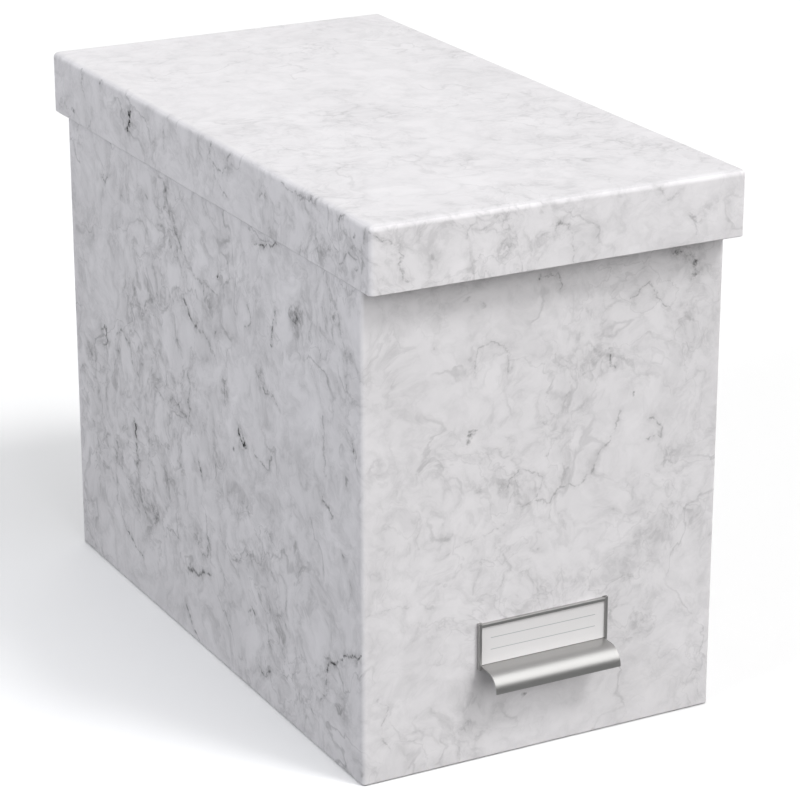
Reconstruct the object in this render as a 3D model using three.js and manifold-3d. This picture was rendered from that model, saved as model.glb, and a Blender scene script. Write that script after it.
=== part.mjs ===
// File box: a tall board box wrapped in paper, for hanging files, with a lift-off lid.
// A one-piece metal label holder with a rolled pull is riveted low on the front, and steel
// rails cap the two end walls, where the hooks of the files rest.
// Millimetres, +Z up. The origin is the centre of the underside. The label holder faces -Y.

import * as THREE from 'three';
import { mergeVertices } from 'three/addons/utils/BufferGeometryUtils.js';
import Module from 'manifold-3d';

const wasm = await Module();
wasm.setup();

// Outside of the closed box, which is the outside of the lid
const lidLength = 350;
const lidWidth = 187.8;
const totalHeight = 265.3;

// Lid: one board tray
const lidBoard = 1.5;
const rimDepth = 31;
const lidEdgeRadius = 3; // along the top edges
const lidCornerSpread = 0.2; // by how much the upright corners are rounder than the top edges

// Body: one board box
const bodyBoard = 2;
const bodyEdgeRadius = 1; // along the bottom edges
const bodyCornerSpread = 1; // by how much the upright corners are rounder than the bottom edges
const sideClearance = 0.5; // between rim and body on the long sides
const hookRoom = 11.1; // between rim and body at the ends, where the hooks hang over
const lidSeat = 0.3; // between the side walls and the lid panel that rests on them
const cornerShoulder = 4; // full-height return of each end wall, beside a side wall

// Rails: bent steel strips that cap the end walls
const railMetal = 0.8;
const railLeg = 8; // how far each leg reaches down the wall
const railInnerBend = 0.3; // inside radius of the bends, below which the board stops
const railClearance = 0.1; // to the two faces of the board
const railEndClearance = 0.3; // to the shoulders
const hookHeight = 9; // from the top of the rail to the underside of the lid panel

// Label holder: one bent sheet of metal
const holderMetal = 0.7;
const holderWidth = 67.6; // over the side channels
const holderTop = 67.6; // height of the top lip
const earRise = 0.4; // how far the side channels stand above the top lip
const channelLip = 1.4; // width of the side lips, seen from the front
const channelDrop = 2; // how far the side channels reach below the shelf
const topLip = 1.9; // height of the top lip, seen from the front
const holderInnerBend = 0.15; // inside radius of the small bends
const cardSlot = 0.5; // depth of the slot for the card
const shelfHeight = 47.3; // top of the shelf
const pullReach = 16; // from the wall to the front of the pull
const pullRadius = 8.4; // outside radius of the roll
const pullRelief = 0.5; // slit between an end of the pull and the side channel
const holderSeat = 0.1; // between the back plate and the wall

// Label card
const cardThickness = 0.3;
const cardSideClearance = 0.1; // to the bends of the side channels
const cardTopClearance = 0.2; // to the bend of the top lip

// Rivets
const rivetSpacing = 36;
const rivetHeadRadius = 2.4; // flush head, in a countersink in the back plate
const rivetShankRadius = 1.5;
const rivetHoleClearance = 0.15;
const rivetSeat = 0.1; // between the formed head and the inside of the wall
const formedHeadRadius = 3;
const formedHeadHeight = 0.8;
const formedHeadRound = 0.4;

// Smoothness of round stretches
const arcSteps = 5;
const bevelSteps = 4;
const rivetSides = 24;

// Overrun that carries a cut clear through
const overrun = 5;
// Smallest radius left inside a folded corner
const insideFold = 0.4;
// Points closer than this are one point
const samePoint = 1e-4;

// Sizes that follow
const bodyWidth = lidWidth - 2 * (lidBoard + sideClearance);
const bodyLength = lidLength - 2 * (lidBoard + hookRoom);
const lidUnderside = totalHeight - lidBoard;
const bodyHeight = lidUnderside - lidSeat;
const innerWidth = bodyWidth - 2 * bodyBoard;
const innerLength = bodyLength - 2 * bodyBoard;
const railTop = lidUnderside - hookHeight;
const endWallHeight = railTop - railMetal - railInnerBend;
const notchWidth = innerWidth - 2 * cornerShoulder;
const lidCornerRadius = lidEdgeRadius + lidCornerSpread;
const bodyCornerRadius = bodyEdgeRadius + bodyCornerSpread;
const frontY = -bodyLength / 2;
const holderDepth = holderSeat + 2 * holderMetal + cardSlot;
const pullWidth = holderWidth - 2 * (holderMetal + pullRelief);
const channelBottom = shelfHeight - channelDrop;
const channelTop = holderTop + earRise;
const rivetHeight = (shelfHeight + holderTop) / 2;

// Materials
const materials = {
  paper: new THREE.MeshStandardMaterial({ color: '#dcdcde', roughness: 0.7, metalness: 0 }),
  satinMetal: new THREE.MeshStandardMaterial({ color: '#b9b8b4', roughness: 0.35, metalness: 1 }),
  steel: new THREE.MeshStandardMaterial({ color: '#a9abad', roughness: 0.45, metalness: 1 }),
  card: new THREE.MeshStandardMaterial({ color: '#e3e2e0', roughness: 0.85, metalness: 0 }),
};

// Turns a closed geometry into a solid that can be cut and joined.
function toSolid(geometry) {
  const plain = geometry.clone();
  plain.deleteAttribute('normal');
  plain.deleteAttribute('uv');
  const merged = mergeVertices(plain, samePoint);
  const index = merged.getIndex().array;
  const triangles = [];
  for (let i = 0; i < index.length; i += 3) {
    const [a, b, c] = [index[i], index[i + 1], index[i + 2]];
    if (a !== b && b !== c && c !== a) {
      triangles.push(a, b, c);
    }
  }
  return new wasm.Manifold(new wasm.Mesh({
    numProp: 3,
    vertProperties: new Float32Array(merged.getAttribute('position').array),
    triVerts: new Uint32Array(triangles),
  }));
}

// Turns a solid back into a geometry.
function toGeometry(solid) {
  const mesh = solid.getMesh();
  const geometry = new THREE.BufferGeometry();
  geometry.setAttribute('position', new THREE.BufferAttribute(mesh.vertProperties, 3));
  geometry.setIndex(new THREE.BufferAttribute(mesh.triVerts, 1));
  geometry.computeVertexNormals();
  return geometry;
}

function namedMesh(name, geometry, material) {
  const mesh = new THREE.Mesh(geometry, material);
  mesh.name = name;
  return mesh;
}

// Rectangle about the origin with round corners.
function roundedRectangle(width, length, radius) {
  const x = width / 2 - radius;
  const y = length / 2 - radius;
  const shape = new THREE.Shape();
  shape.absarc(x, y, radius, 0, Math.PI / 2);
  shape.absarc(-x, y, radius, Math.PI / 2, Math.PI);
  shape.absarc(-x, -y, radius, Math.PI, 1.5 * Math.PI);
  shape.absarc(x, -y, radius, 1.5 * Math.PI, 2 * Math.PI);
  return shape;
}

// Upright block from bottom to top, with straight ends.
function block(width, length, bottom, top, cornerRadius) {
  const geometry = new THREE.ExtrudeGeometry(roundedRectangle(width, length, cornerRadius), {
    depth: top - bottom,
    bevelEnabled: false,
    curveSegments: arcSteps,
  });
  return geometry.translate(0, 0, bottom);
}

// The same block with its top and bottom edges rounded too.
function softBlock(width, length, bottom, top, cornerRadius, edgeRadius) {
  const geometry = new THREE.ExtrudeGeometry(roundedRectangle(width, length, cornerRadius), {
    depth: top - bottom - 2 * edgeRadius,
    bevelThickness: edgeRadius,
    bevelSize: edgeRadius,
    bevelOffset: -edgeRadius,
    bevelSegments: bevelSteps,
    curveSegments: arcSteps,
  });
  return geometry.translate(0, 0, bottom + edgeRadius);
}

// Plain box from a lowest to a highest corner.
function box(low, high) {
  const size = new THREE.Vector3(...high).sub(new THREE.Vector3(...low));
  const middle = new THREE.Vector3(...high).add(new THREE.Vector3(...low)).multiplyScalar(0.5);
  return new THREE.BoxGeometry(size.x, size.y, size.z).translate(middle.x, middle.y, middle.z);
}

// Middle line of a bent sheet: straight runs joined by round bends.
// Each corner is [x, y] or, where the bend has a radius of its own, [x, y, radius].
function bentLine(corners, usualRadius) {
  const points = corners.map(([x, y]) => new THREE.Vector2(x, y));
  const path = new THREE.Path();
  path.moveTo(points[0].x, points[0].y);
  for (let i = 1; i < points.length - 1; i += 1) {
    const radius = corners[i][2] ?? usualRadius;
    const back = points[i - 1].clone().sub(points[i]).normalize();
    const ahead = points[i + 1].clone().sub(points[i]).normalize();
    const half = Math.acos(back.dot(ahead)) / 2;
    const start = points[i].clone().addScaledVector(back, radius / Math.tan(half));
    const end = points[i].clone().addScaledVector(ahead, radius / Math.tan(half));
    const bisector = back.clone().add(ahead).normalize();
    const centre = points[i].clone().addScaledVector(bisector, radius / Math.sin(half));
    const startAngle = start.clone().sub(centre).angle();
    const endAngle = end.clone().sub(centre).angle();
    const clockwise = back.cross(ahead) > 0;
    path.lineTo(start.x, start.y);
    path.absarc(centre.x, centre.y, radius, startAngle, endAngle, clockwise);
  }
  const last = points[points.length - 1];
  path.lineTo(last.x, last.y);
  return path.getPoints(arcSteps);
}

// Section of a bent sheet: its middle line, thickened by half the metal to each side.
function bentSheet(corners, thickness, innerBend) {
  const raw = bentLine(corners, innerBend + thickness / 2);
  const line = raw.filter((point, i) => i === 0 || point.distanceTo(raw[i - 1]) > samePoint);
  const left = [];
  const right = [];
  line.forEach((point, i) => {
    const before = line[Math.max(i - 1, 0)];
    const after = line[Math.min(i + 1, line.length - 1)];
    const inwards = point.clone().sub(before).normalize();
    const outwards = after.clone().sub(point).normalize();
    const along = inwards.add(outwards).normalize();
    const stretch = i === 0 || i === line.length - 1
      ? 1
      : 1 / along.dot(after.clone().sub(point).normalize());
    const side = new THREE.Vector2(-along.y, along.x).multiplyScalar(stretch * thickness / 2);
    left.push(point.clone().add(side));
    right.push(point.clone().sub(side));
  });
  return new THREE.Shape([...left, ...right.reverse()]);
}

// Runs a section along X. The section's x is the distance towards -Y and its y is the height.
function alongWidth(section, width) {
  const geometry = new THREE.ExtrudeGeometry(section, { depth: width, bevelEnabled: false });
  geometry.translate(0, 0, -width / 2);
  return geometry.applyMatrix4(new THREE.Matrix4().makeBasis(
    new THREE.Vector3(0, -1, 0),
    new THREE.Vector3(0, 0, 1),
    new THREE.Vector3(-1, 0, 0),
  ));
}

// The two rivets stand at these distances from the middle of the holder.
const rivetPlaces = { rivet_left: -rivetSpacing / 2, rivet_right: rivetSpacing / 2 };

// Hole for a rivet, with its countersink, measured from the outside of the front wall.
function rivetHole(x) {
  const plateFront = -holderSeat - holderMetal;
  const head = rivetHeadRadius + rivetHoleClearance;
  const shank = rivetShankRadius + rivetHoleClearance;
  const profile = [
    new THREE.Vector2(0, plateFront - overrun),
    new THREE.Vector2(head, plateFront - overrun),
    new THREE.Vector2(head, plateFront),
    new THREE.Vector2(shank, -holderSeat),
    new THREE.Vector2(shank, bodyBoard + overrun),
    new THREE.Vector2(0, bodyBoard + overrun),
  ];
  return toSolid(new THREE.LatheGeometry(profile, rivetSides).translate(x, 0, rivetHeight));
}

// Body: the outer block, hollowed, with its end walls lowered between the shoulders.
function makeBody() {
  const outer = toSolid(softBlock(
    bodyWidth, bodyLength, 0, bodyHeight + overrun, bodyCornerRadius, bodyEdgeRadius,
  ));
  const above = toSolid(box(
    [-bodyWidth, -bodyLength, bodyHeight],
    [bodyWidth, bodyLength, bodyHeight + 2 * overrun],
  ));
  const hollow = toSolid(block(
    innerWidth, innerLength, bodyBoard, bodyHeight + overrun,
    Math.max(bodyCornerRadius - bodyBoard, insideFold),
  ));
  const notches = toSolid(box(
    [-notchWidth / 2, -bodyLength, endWallHeight],
    [notchWidth / 2, bodyLength, bodyHeight + overrun],
  ));
  let body = outer.subtract(above).subtract(hollow).subtract(notches);
  for (const x of Object.values(rivetPlaces)) {
    body = body.subtract(rivetHole(x).translate([0, frontY, 0]));
  }
  return namedMesh('box_body', toGeometry(body), materials.paper);
}

// Lid: a shallow tray, upside down over the body.
function makeLid() {
  const rimBottom = totalHeight - rimDepth;
  const outer = toSolid(softBlock(
    lidWidth, lidLength, rimBottom - overrun, totalHeight, lidCornerRadius, lidEdgeRadius,
  ));
  const below = toSolid(box(
    [-lidWidth, -lidLength, rimBottom - 2 * overrun],
    [lidWidth, lidLength, rimBottom],
  ));
  const hollow = toSolid(block(
    lidWidth - 2 * lidBoard, lidLength - 2 * lidBoard, rimBottom - overrun, lidUnderside,
    Math.max(lidCornerRadius - lidBoard, insideFold),
  ));
  return namedMesh('lid', toGeometry(outer.subtract(below).subtract(hollow)), materials.paper);
}

// Rail: a strip bent over the top of an end wall. Its section stands on the wall's middle.
function makeRail(name, wallY) {
  const legMiddle = bodyBoard / 2 + railClearance + railMetal / 2;
  const topMiddle = railTop - railMetal / 2;
  const legBottom = railTop - railLeg;
  const section = bentSheet(
    [[-legMiddle, legBottom], [-legMiddle, topMiddle], [legMiddle, topMiddle], [legMiddle, legBottom]],
    railMetal, railInnerBend,
  );
  const rail = namedMesh(
    name, alongWidth(section, notchWidth - 2 * railEndClearance), materials.steel,
  );
  rail.position.y = wallY;
  return rail;
}

// Label holder, measured from the outside of the front wall.
// One strip makes the top lip, the back plate, the shelf and the pull. Two more make the sides.
function makeHolder() {
  const plateMiddle = holderSeat + holderMetal / 2;
  const lipMiddle = holderDepth - holderMetal / 2;
  const topMiddle = holderTop - holderMetal / 2;
  const shelfMiddle = shelfHeight - holderMetal / 2;
  const pullMiddle = pullReach - holderMetal / 2;
  const strip = bentSheet(
    [
      [lipMiddle, holderTop - topLip],
      [lipMiddle, topMiddle],
      [plateMiddle, topMiddle],
      [plateMiddle, shelfMiddle],
      [pullMiddle, shelfMiddle, pullRadius - holderMetal / 2],
      [pullMiddle, shelfHeight - pullRadius],
    ],
    holderMetal, holderInnerBend,
  );
  let holder = toSolid(alongWidth(strip, pullWidth));
  for (const side of [-1, 1]) {
    const flangeMiddle = side * (holderWidth / 2 - holderMetal / 2);
    const lipEdge = side * (holderWidth / 2 - channelLip);
    const plateEdge = side * (pullWidth / 2 - holderMetal);
    const section = bentSheet(
      [
        [plateEdge, -plateMiddle],
        [flangeMiddle, -plateMiddle],
        [flangeMiddle, -lipMiddle],
        [lipEdge, -lipMiddle],
      ],
      holderMetal, holderInnerBend,
    );
    const channel = new THREE.ExtrudeGeometry(section, {
      depth: channelTop - channelBottom,
      bevelEnabled: false,
    });
    holder = holder.add(toSolid(channel.translate(0, 0, channelBottom)));
  }
  for (const x of Object.values(rivetPlaces)) {
    holder = holder.subtract(rivetHole(x));
  }
  return namedMesh('label_holder', toGeometry(holder), materials.satinMetal);
}

// Card: stands on the shelf, behind the lips.
function makeCard() {
  const halfWidth = holderWidth / 2 - holderMetal - holderInnerBend - cardSideClearance;
  const middle = -holderSeat - holderMetal - cardSlot / 2;
  const cardTop = holderTop - holderMetal - holderInnerBend - cardTopClearance;
  return namedMesh('label_card', box(
    [-halfWidth, middle - cardThickness / 2, shelfHeight + holderInnerBend],
    [halfWidth, middle + cardThickness / 2, cardTop],
  ), materials.card);
}

// Rivet: a flush head in front of the plate and a formed head inside the box.
function makeRivet(name, x) {
  const plateFront = -holderSeat - holderMetal;
  const formedBase = bodyBoard + rivetSeat;
  const formedTop = formedBase + formedHeadHeight;
  const profile = [
    new THREE.Vector2(0, plateFront),
    new THREE.Vector2(rivetHeadRadius, plateFront),
    new THREE.Vector2(rivetShankRadius, -holderSeat),
    new THREE.Vector2(rivetShankRadius, formedBase),
    new THREE.Vector2(formedHeadRadius, formedBase),
    new THREE.Vector2(formedHeadRadius, formedTop - formedHeadRound),
    new THREE.Vector2(formedHeadRadius - formedHeadRound, formedTop),
    new THREE.Vector2(0, formedTop),
  ];
  const geometry = toGeometry(toSolid(new THREE.LatheGeometry(profile, rivetSides)));
  const rivet = namedMesh(name, geometry, materials.steel);
  rivet.position.set(x, 0, rivetHeight);
  return rivet;
}

// The holder, its card and its rivets sit on the outside of the front wall.
const label = new THREE.Group();
label.position.y = frontY;
label.add(makeHolder(), makeCard());
for (const [name, x] of Object.entries(rivetPlaces)) {
  label.add(makeRivet(name, x));
}

const wallMiddle = (bodyLength - bodyBoard) / 2;
const fileBox = new THREE.Group();
fileBox.add(
  makeBody(),
  makeLid(),
  makeRail('front_rail', -wallMiddle),
  makeRail('rear_rail', wallMiddle),
  label,
);

export default fileBox;
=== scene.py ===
"""A file box wrapped in marbled paper, with a lift-off lid and a metal label holder.

Metres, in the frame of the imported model: +Z up, the label holder faces -Y.
"""

import math

import bmesh
import bpy
from mathutils import Matrix, Vector


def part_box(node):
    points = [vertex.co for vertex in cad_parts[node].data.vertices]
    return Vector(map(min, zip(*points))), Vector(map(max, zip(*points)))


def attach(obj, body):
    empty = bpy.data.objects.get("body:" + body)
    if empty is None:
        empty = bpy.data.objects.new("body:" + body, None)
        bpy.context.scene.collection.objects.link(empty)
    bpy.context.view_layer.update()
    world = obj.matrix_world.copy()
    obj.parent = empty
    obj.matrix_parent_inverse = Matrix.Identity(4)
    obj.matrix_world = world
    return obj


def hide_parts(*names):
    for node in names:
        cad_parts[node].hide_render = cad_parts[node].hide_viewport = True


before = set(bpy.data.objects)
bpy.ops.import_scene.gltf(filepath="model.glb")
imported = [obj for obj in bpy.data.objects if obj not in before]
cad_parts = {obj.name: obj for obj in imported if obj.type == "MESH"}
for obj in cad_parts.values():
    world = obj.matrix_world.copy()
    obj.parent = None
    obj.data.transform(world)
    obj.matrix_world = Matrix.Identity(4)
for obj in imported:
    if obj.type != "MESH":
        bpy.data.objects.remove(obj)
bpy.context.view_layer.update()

SCENE = bpy.context.scene
MM = 0.001

# Sizes read from the frame, in millimetres
BODY_LOW, BODY_HIGH = [[v / MM for v in corner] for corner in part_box("box_body")]
LID_LOW, LID_HIGH = [[v / MM for v in corner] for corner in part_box("lid")]
RAIL_HIGH = [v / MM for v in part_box("front_rail")[1]]
HOLDER_LOW, HOLDER_HIGH = [[v / MM for v in corner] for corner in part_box("label_holder")]
CARD_LOW, CARD_HIGH = [[v / MM for v in corner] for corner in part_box("label_card")]
BODY_WIDTH = BODY_HIGH[0] - BODY_LOW[0]
BODY_LENGTH = BODY_HIGH[1] - BODY_LOW[1]
LID_WIDTH = LID_HIGH[0] - LID_LOW[0]
LID_LENGTH = LID_HIGH[1] - LID_LOW[1]
FRONT_Y = BODY_LOW[1]

# Board and paper, in millimetres
BODY_BOARD = 2.0
LID_BOARD = 1.5
BODY_CORNER = 2.0
LID_CORNER = 2.4
LID_EDGE = 3.0
BODY_EDGE = 1.0
PAPER = 0.16            # thickness of one sheet of paper
RIM_ROUND = 0.55        # rounding of the wrapped board edges
FOLD_INSIDE = 0.4       # radius inside a folded corner
SHOULDER = 4.0          # full-height return of each end wall
RAIL_METAL = 0.8
RAIL_BEND = 0.3
TURN_IN = 16.0          # how far the wrap is turned in over the rim
SEAM_WIDTH = 12.0       # overlap of the wrap's ends, on the rear wall
SEAM_FADE = 8.0         # the lower sheet comes level again between here and the corner
FLAP_WIDTH = 14.0       # folded-over ends of the wrap on the lid's long sides
BASE_MARGIN = 7.0       # border of the wrap left showing round the base sheet
BASE_CORNER = 0.6
BASE_LIFT = 0.1         # the wrap's lower edge is this far above the base sheet's face
PANEL_MARGIN = 4.0      # border of the wrap left showing round the lining in the lid
PANEL_CORNER = 0.8
SHEET_STEP = 0.02       # half the width of the step at a sheet's edge
LEVELS = (40.0, 120.0, 200.0)       # rings on the plain part of the body's walls

# The rim's rise beside each shoulder, in millimetres
NOTCH_SIDE = BODY_WIDTH / 2 - BODY_BOARD - SHOULDER
RISE_FROM = -0.1        # from the notch's side to the start and to the end of the rise
RISE_TO = 1.3
RISE_STATION = 0.2      # distance between the points along it

# Label holder, in millimetres
HOLDER_METAL = 0.7
HOLDER_BEND = 0.15
HOLDER_OUTER = 0.25     # rounding outside the tight bends
HOLDER_SEAT = 0.1
CARD_SLOT = 0.5
TOP_LIP = 1.5
SIDE_LIP = 1.4
EAR_RISE = 0.4
PULL_RADIUS = 8.4
PULL_RELIEF = 0.5
SHELF_HEIGHT = 47.3
CHANNEL_DROP = 2.0
METAL_EDGE = 0.12       # rounding of the cut edges of the metal
RIVET_HEAD = 2.4        # radii of the rivet
RIVET_SHANK = 1.5
RIVET_FORMED = 3.0
FORMED_RISE = 0.8       # height of the formed head
FORMED_SIDE = 0.15      # upright part of that height
RIVET_SIDES = 40

# Camera, solved from the straight edges in the photograph
CAMERA_AT = Vector((-0.65797, -1.26017, 0.63436))
CAMERA_FORWARD = Vector((0.441806, 0.829263, -0.342243))
FOCAL_PIXELS = 3077.6
PHOTO_PIXELS = 800
SENSOR_MM = 36.0


# Nodes

def node(tree, kind, inputs=(), **settings):
    """A node of this kind. Each input is a socket to link, a value, or None to leave it."""
    made = tree.nodes.new(kind)
    for name, value in settings.items():
        setattr(made, name, value)
    for socket, value in zip(made.inputs, inputs):
        if isinstance(value, bpy.types.NodeSocket):
            tree.links.new(value, socket)
        elif value is not None:
            socket.default_value = value
    return made


def calc(tree, operation, a, b=None, c=None, clamp=False):
    """One sum on sockets or values."""
    return node(tree, "ShaderNodeMath", (a, b, c), operation=operation, use_clamp=clamp).outputs[0]


def vector(tree, operation, a, b=None):
    """One sum on vectors, which gives a vector or, for a length or a product, a value."""
    made = node(tree, "ShaderNodeVectorMath", (a, b), operation=operation)
    wants_value = operation in ("DOT_PRODUCT", "LENGTH", "DISTANCE")
    return made.outputs["Value" if wants_value else "Vector"]


def scaled(tree, a, factor):
    """The vector times a socket or a value."""
    made = node(tree, "ShaderNodeVectorMath", (a,), operation="SCALE")
    if isinstance(factor, bpy.types.NodeSocket):
        tree.links.new(factor, made.inputs["Scale"])
    else:
        made.inputs["Scale"].default_value = factor
    return made.outputs["Vector"]


def ramp(tree, value, low, high, out_low=0.0, out_high=1.0, smooth=True):
    """Maps low..high to out_low..out_high and holds the ends."""
    kind = "SMOOTHSTEP" if smooth else "LINEAR"
    made = node(tree, "ShaderNodeMapRange", (value, low, high, out_low, out_high),
                interpolation_type=kind)
    return made.outputs[0]


def noise(tree, place, per_metre, detail=2.0, roughness=0.5, offset=(0.0, 0.0, 0.0), colour=False):
    """Noise with this many features in a metre."""
    moved = vector(tree, "ADD", place, offset)
    made = node(tree, "ShaderNodeTexNoise")
    tree.links.new(moved, made.inputs["Vector"])
    made.inputs["Scale"].default_value = per_metre
    made.inputs["Detail"].default_value = detail
    made.inputs["Roughness"].default_value = roughness
    return made.outputs["Color" if colour else "Fac"]


def ridges(tree, place, per_metre, detail, roughness, offset):
    """Ridged noise: about 0.5 in the blobs, 1.4 at the middle and 2.1 on the crests."""
    moved = vector(tree, "ADD", place, offset)
    made = node(tree, "ShaderNodeTexNoise", noise_type="RIDGED_MULTIFRACTAL")
    tree.links.new(moved, made.inputs["Vector"])
    made.inputs["Scale"].default_value = per_metre
    made.inputs["Detail"].default_value = detail
    made.inputs["Roughness"].default_value = roughness
    made.inputs["Offset"].default_value = 1.0
    made.inputs["Gain"].default_value = 2.0
    return made.outputs["Fac"]


def warped(tree, place, per_metre, reach, detail, offset):
    """The place, moved about by noise up to half of reach, in metres."""
    field = noise(tree, place, per_metre, detail, 0.55, offset, colour=True)
    centred = vector(tree, "SUBTRACT", field, (0.5, 0.5, 0.5))
    return vector(tree, "ADD", place, scaled(tree, centred, reach))


def new_material(name):
    """A material with one shader: (material, node tree, shader, place on the object in metres)."""
    material = bpy.data.materials.new(name)
    material.use_nodes = True
    tree = material.node_tree
    tree.nodes.clear()
    output = tree.nodes.new("ShaderNodeOutputMaterial")
    shader = tree.nodes.new("ShaderNodeBsdfPrincipled")
    tree.links.new(shader.outputs[0], output.inputs["Surface"])
    place = tree.nodes.new("ShaderNodeTexCoord").outputs["Object"]
    return material, tree, shader, place


def bump(tree, shader, height, strength, distance):
    """Fine relief in the light only, up to this distance in metres."""
    made = node(tree, "ShaderNodeBump")
    made.inputs["Strength"].default_value = strength
    made.inputs["Distance"].default_value = distance
    tree.links.new(height, made.inputs["Height"])
    tree.links.new(made.outputs["Normal"], shader.inputs["Normal"])


def grey_mix(tree, factor, dark, light):
    """Colour from dark at 0 to light at 1."""
    made = node(tree, "ShaderNodeMix", data_type="RGBA")
    tree.links.new(factor, made.inputs["Factor"])
    made.inputs[6].default_value = (*dark, 1.0)
    made.inputs[7].default_value = (*light, 1.0)
    return made.outputs[2]


# Marbled paper. Marks are given in millimetres on a face: (across, up).
# A line is (points, half width, darkness); a spot is (across, up, radius, darkness).

FRONT_LINES = [
    ([(41, 157), (35, 148), (31, 141), (24, 130), (20, 126), (9, 126), (3, 120)], 0.5, 0.22),
    ([(3, 120), (-8, 120), (-15, 122)], 0.4, 0.20),
    ([(-36, 186), (-36, 196), (-28, 201), (-21, 197), (-19, 187)], 0.4, 0.20),
    ([(43, 211), (52, 215), (57, 206), (64, 203)], 0.4, 0.24),
    ([(-21, 128), (-19, 135), (-10, 138), (-2, 133), (-4, 122), (-14, 120)], 0.4, 0.20),
    ([(55, 151), (62, 147), (60, 141), (53, 141)], 0.5, 0.26),
    ([(-3, 225), (4, 228), (7, 220)], 0.5, 0.36),
    ([(-84, 42), (-79, 36), (-84, 24), (-78, 14)], 0.5, 0.18),
    ([(-36, 84), (-33, 97), (-22, 103), (-17, 92), (-24, 82)], 0.6, 0.10),
    ([(32, 184), (33, 180), (36, 179)], 0.6, 0.38),
    ([(66, 228), (73, 226), (78, 223), (77, 214)], 0.9, 0.48),
    ([(-90, 84), (-68, 84)], 0.3, 0.10),
    ([(-53, 104), (-40, 108), (-20, 112)], 0.5, 0.12),
]
FRONT_SPOTS = [
    (-37.2, 160.4, 1.3, 0.30), (-38.5, 157.6, 1.8, 0.46), (-40.1, 154.6, 1.5, 0.32),
    (46.3, 164.0, 1.1, 0.36), (0.9, 142.6, 1.5, 0.30),
    (74.5, 223.5, 5.5, 0.16), (-40.0, 221.0, 1.8, 0.22), (-33.0, 217.6, 1.5, 0.20),
    (60.0, 143.0, 2.5, 0.16), (-8.7, 27.6, 1.3, 0.36), (45.0, 76.0, 4.0, 0.14),
    (51.0, 50.6, 5.0, 0.15), (-22.0, 131.0, 3.0, 0.14), (49.0, 92.0, 6.0, 0.10),
    (-76.0, 189.0, 1.5, 0.10), (45.0, 172.0, 9.0, 0.06), (-20.0, 22.0, 7.0, 0.07),
]
LEFT_LINES = [
    ([(40, 226), (36, 214), (28, 206), (18, 197), (6, 191), (-17, 189)], 0.7, 0.18),
    ([(21, 176), (17, 169), (8, 167)], 0.8, 0.32),
    ([(8, 167), (-3, 164), (-12, 158)], 0.6, 0.16),
    ([(20, 113), (19, 128), (18, 141)], 0.5, 0.18),
    ([(20, 113), (33, 121), (48, 116), (59, 121)], 0.5, 0.18),
    ([(-127, 43), (-134, 49), (-145, 57), (-160, 63)], 0.7, 0.32),
    ([(-127, 43), (-126, 32), (-121, 24)], 0.6, 0.20),
    ([(25, 36), (13, 38), (-2, 43)], 0.9, 0.26),
    ([(16, 58), (8, 48), (0, 52), (0, 60)], 0.8, 0.16),
    ([(81, 22), (93, 25), (101, 28)], 0.6, 0.30),
    ([(101, 28), (114, 41), (114, 60), (108, 72)], 0.5, 0.13),
    ([(86, 91), (86, 80), (85, 72)], 0.7, 0.44),
    ([(85, 72), (83, 56), (74, 47)], 0.5, 0.14),
    ([(-79, 199), (-76, 190), (-75, 184)], 0.6, 0.30),
    ([(-130, 228), (-139, 217), (-150, 200)], 0.8, 0.12),
    ([(-80, 232), (-68, 227), (-58, 225)], 0.5, 0.30),
    ([(-37, 130), (-40, 125), (-45, 122), (-43, 128)], 0.8, 0.46),
    ([(-53, 126), (-59, 120), (-68, 121), (-75, 131)], 0.6, 0.22),
    ([(127, 130), (121, 133), (118, 127), (124, 122)], 0.8, 0.44),
    ([(110, 130), (101, 137), (90, 133), (86, 122)], 0.6, 0.18),
    ([(-60, 163), (-66, 158), (-72, 160), (-80, 155)], 0.5, 0.26),
    ([(-125, 165), (-127, 150), (-126, 141), (-128, 138)], 0.6, 0.13),
    ([(-124, 127), (-134, 119)], 0.8, 0.30),
    ([(-154, 164), (-155, 155)], 0.5, 0.22),
    ([(-45, 40), (-49, 43), (-54, 40)], 0.6, 0.30),
    ([(-55, 16), (-62, 13), (-68, 18)], 0.6, 0.24),
    ([(-14, 73), (-18, 64), (-26, 58), (-36, 62), (-44, 74)], 0.4, 0.12),
    ([(8, 98), (6, 91)], 0.5, 0.28),
    ([(-48, 195), (-53, 187), (-47, 183)], 0.6, 0.22),
    ([(120, 214), (116, 211), (112, 214)], 0.5, 0.24),
    ([(28, 15), (22, 8), (14, 2)], 0.7, 0.24),
]
LEFT_SPOTS = [
    (121.0, 129.0, 4.0, 0.12), (85.0, 71.0, 2.0, 0.30), (-75.0, 183.0, 2.2, 0.36),
    (-62.0, 163.0, 7.0, 0.14), (-98.6, 203.0, 8.0, 0.19), (63.9, 50.6, 8.0, 0.20),
    (-23.6, 144.4, 6.0, 0.18), (142.7, 112.0, 8.0, 0.15), (-136.0, 215.0, 2.2, 0.22),
    (-48.0, 70.0, 5.5, 0.18), (-18.6, 200.6, 1.2, 0.36), (-2.3, 187.0, 2.2, 0.22),
    (12.0, 56.0, 6.0, 0.14), (-5.0, 183.0, 7.0, 0.14), (-40.0, 124.0, 4.0, 0.14),
    (70.0, 93.0, 8.0, 0.10), (107.0, 185.0, 10.0, 0.09), (-150.0, 200.0, 7.0, 0.10),
    (-58.0, 75.0, 12.0, 0.07), (53.0, 140.0, 6.0, 0.10), (-145.0, 30.0, 9.0, 0.10),
    (139.0, 58.0, 2.0, 0.30), (-31.0, 118.0, 1.5, 0.30), (1.0, 116.0, 4.0, 0.08),
]
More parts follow.
